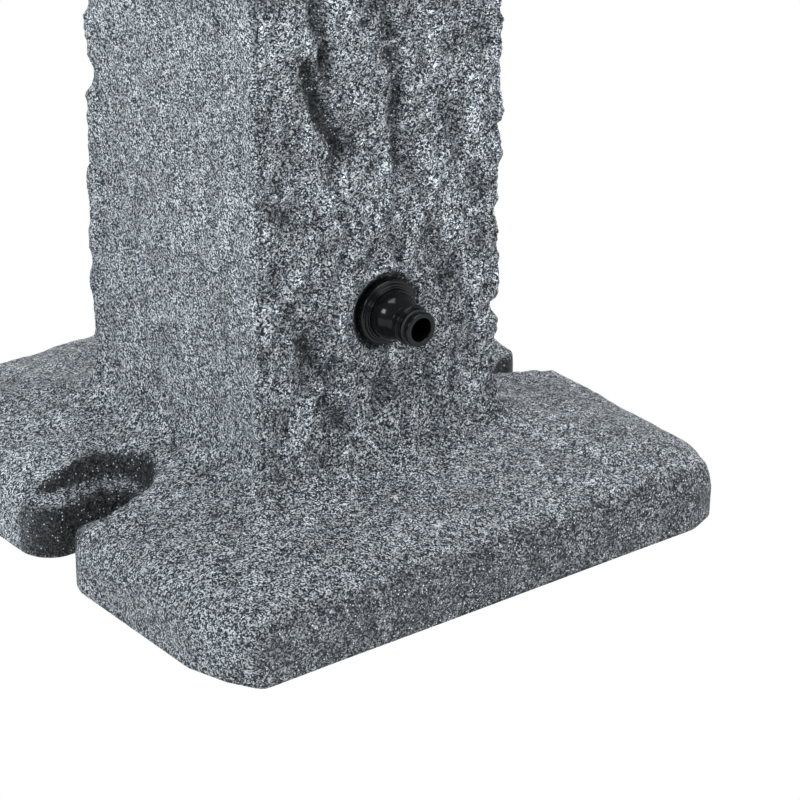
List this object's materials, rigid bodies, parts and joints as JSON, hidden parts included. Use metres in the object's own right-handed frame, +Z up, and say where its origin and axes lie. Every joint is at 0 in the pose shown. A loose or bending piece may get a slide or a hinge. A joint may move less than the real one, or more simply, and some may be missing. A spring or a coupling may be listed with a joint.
{
  "type": "garden standpipe",
  "caption": "Granite-look garden standpipe: a hewn hollow post on a broad foot with peg slots, a hose spigot low on the back and a lever ball tap with a hose connector near the top.",
  "frame": {"origin": "on the ground, under the middle of the foot", "axes": "+Z up the post; +Y out of the rear face, along the hose inlet; the tap is on the -Y face; +X is the side the shut lever points to"},
  "size_m": [0.273, 0.289, 1],
  "materials": {
    "granite_plastic": "grey granite look with dense fine speckle",
    "cover_plastic": "plain moulded",
    "black_plastic": "smooth moulded",
    "grip_plastic": "fine moulded grain",
    "seat_plastic": "smooth white",
    "rubber": "smooth",
    "hose_rubber": "smooth hose",
    "steel": "brushed",
    "chrome": "polished plating",
    "brass": "plain turned"
  },
  "bodies": {
    "post": {"column_shell": "granite_plastic", "top_cap": "granite_plastic", "base_cover": "cover_plastic", "cap_screws": "steel", "base_cover_screws": "steel", "clamp_screws": "steel", "lower_clamp": "steel", "upper_clamp": "steel", "inlet_connector": "black_plastic", "inlet_elbow": "black_plastic", "inlet_lock_nut": "black_plastic", "inlet_washer": "black_plastic", "outlet_connector": "black_plastic", "inlet_oring": "rubber", "outlet_oring": "rubber", "inlet_gasket": "rubber", "tap_gasket": "rubber", "outlet_washer": "rubber", "riser_hose": "hose_rubber", "tap_bulkhead": "brass", "tap_lock_nut": "brass", "tap_rosette": "chrome", "tap_tailpiece": "chrome", "tap_body": "chrome", "gland_nut": "chrome", "ball_seats": "seat_plastic", "stem_packing": "seat_plastic"},
    "lever": {"tap_lever": "steel", "lever_grip": "grip_plastic", "lever_nut": "steel", "tap_stem": "brass", "tap_ball": "chrome"}
  },
  "joints": [
    {"name": "lever_turn", "type": "hinge", "parent": "post", "child": "lever", "pos_m": [-0.0025, -0.097, 0.86], "axis": [0, 0, -1], "range_deg": [0, 90]}
  ]
}
